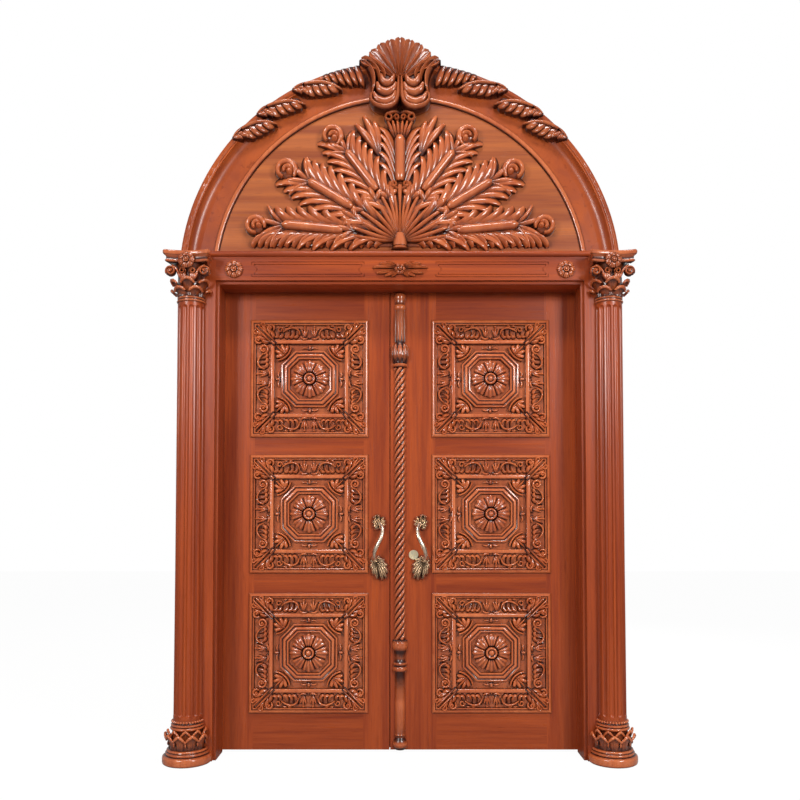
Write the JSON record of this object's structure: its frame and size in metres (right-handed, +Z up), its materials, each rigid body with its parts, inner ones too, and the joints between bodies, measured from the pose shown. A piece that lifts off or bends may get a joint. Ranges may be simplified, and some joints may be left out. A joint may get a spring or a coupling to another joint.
{
  "type": "carved double entrance door",
  "caption": "Carved mahogany double entrance door in a deep frame with half-round columns, an arched fan pediment, hinged leaves, pulls, a key lock and flush bolts.",
  "frame": {"origin": "on the floor, under the middle of the door's whole box", "axes": "+X across the doorway to the viewer's right, +Y into the building, +Z up"},
  "size_m": [2.06, 0.359, 3.2],
  "materials": {
    "mahogany": "red-brown varnish, semi-gloss, grain along each board",
    "carved_mahogany": "red-brown varnish, semi-gloss, with dark glaze in the hollows",
    "bronze": "antique bronze, dark in the hollows and worn bright on the ridges",
    "brass": "polished brass",
    "steel": "brushed"
  },
  "bodies": {
    "frame": {"left_jamb": "mahogany", "right_jamb": "mahogany", "head_jamb": "mahogany", "left_pilaster": "mahogany", "right_pilaster": "mahogany", "left_column_base": "carved_mahogany", "right_column_base": "carved_mahogany", "left_column_shaft": "mahogany", "right_column_shaft": "mahogany", "left_capital": "carved_mahogany", "right_capital": "carved_mahogany", "frieze_board": "mahogany", "frieze_rosettes": "carved_mahogany", "frieze_spray": "carved_mahogany", "cornice": "mahogany", "arch_frame": "mahogany", "arch_bead": "carved_mahogany", "tympanum": "mahogany", "arch_back_panel": "mahogany", "fan_carving": "carved_mahogany", "arch_garlands": "carved_mahogany", "crest": "carved_mahogany", "hinge_frame_plates": "brass", "hinge_pins": "steel"},
    "left_leaf": {"left_hinge_stile": "mahogany", "left_meeting_stile": "mahogany", "left_top_rail": "mahogany", "left_upper_rail": "mahogany", "left_lower_rail": "mahogany", "left_bottom_rail": "mahogany", "left_upper_panel": "carved_mahogany", "left_middle_panel": "carved_mahogany", "left_lower_panel": "carved_mahogany", "left_panel_mouldings": "mahogany", "left_rosettes": "carved_mahogany", "left_pull_handle": "bronze", "left_inner_pull": "bronze", "left_hinge_plates": "brass", "strike_plate": "brass"},
    "right_leaf": {"right_hinge_stile": "mahogany", "right_meeting_stile": "mahogany", "right_top_rail": "mahogany", "right_upper_rail": "mahogany", "right_lower_rail": "mahogany", "right_bottom_rail": "mahogany", "right_upper_panel": "carved_mahogany", "right_middle_panel": "carved_mahogany", "right_lower_panel": "carved_mahogany", "right_panel_mouldings": "mahogany", "right_rosettes": "carved_mahogany", "right_pull_handle": "bronze", "right_inner_pull": "bronze", "right_hinge_plates": "brass", "astragal": "carved_mahogany", "lock_case": "steel", "cylinder_collar": "brass"},
    "cylinder": {"cylinder_plug": "brass"},
    "deadbolt": {"deadbolt": "brass"},
    "top_bolt": {"top_flush_bolt": "brass"},
    "bottom_bolt": {"bottom_flush_bolt": "brass"}
  },
  "joints": [
    {"name": "left_leaf_hinge", "type": "hinge", "parent": "frame", "child": "left_leaf", "pos_m": [-0.818, 0.129, 1.06], "axis": [0, 0, 1], "range_deg": [0, 100]},
    {"name": "right_leaf_hinge", "type": "hinge", "parent": "frame", "child": "right_leaf", "pos_m": [0.818, 0.129, 1.06], "axis": [0, 0, -1], "range_deg": [0, 100]},
    {"name": "cylinder_turn", "type": "hinge", "parent": "right_leaf", "child": "cylinder", "pos_m": [0.062, 0.0965, 0.891], "axis": [0, 1, 0], "range_deg": [0, 181]},
    {"name": "deadbolt_slide", "type": "slide", "parent": "right_leaf", "child": "deadbolt", "axis": [-1, 0, 0], "range_m": [0, 0.02]},
    {"name": "top_bolt_slide", "type": "slide", "parent": "left_leaf", "child": "top_bolt", "axis": [0, 0, 1], "range_m": [0, 0.018]},
    {"name": "bottom_bolt_slide", "type": "slide", "parent": "left_leaf", "child": "bottom_bolt", "axis": [0, 0, -1], "range_m": [0, 0.018]}
  ],
  "couplings": [
    {"joint": "cylinder_turn", "follows": "deadbolt_slide", "rad_per_m": 157}
  ]
}
